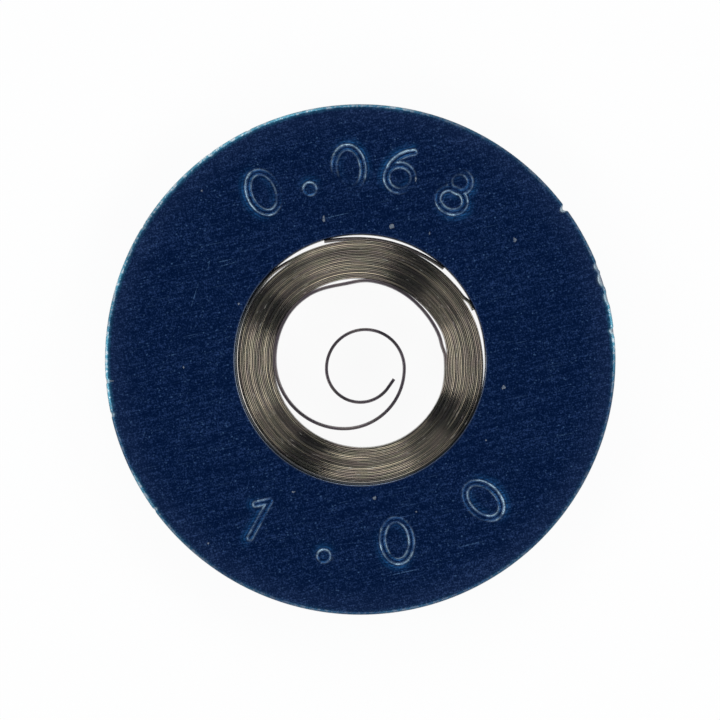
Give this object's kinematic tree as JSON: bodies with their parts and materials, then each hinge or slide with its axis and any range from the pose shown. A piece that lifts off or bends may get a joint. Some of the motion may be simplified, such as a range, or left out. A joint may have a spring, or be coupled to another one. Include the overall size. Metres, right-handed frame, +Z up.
{
  "type": "spiral power spring",
  "caption": "Flat watch mainspring wound tight in its anodised keeper ring, with a free inner coil that hooks on a barrel arbor and a short bridle at its outer end.",
  "frame": {"origin": "centre of the keeper ring's underside", "axes": "+Z up along the ring's axis; +X and +Y lie in the plane of the ring, with +Y towards the side of the bridle"},
  "size_m": [0.0119, 0.0118, 0.0012],
  "materials": {
    "anodised_ring": "dark blue anodised over a brushed surface",
    "spring_strip": "polished spring alloy, warm grey, lightly oiled",
    "bridle_strip": "polished spring alloy, warm grey"
  },
  "bodies": {
    "root": {"keeper_ring": "anodised_ring", "mainspring": "spring_strip", "bridle": "bridle_strip"}
  },
  "joints": []
}
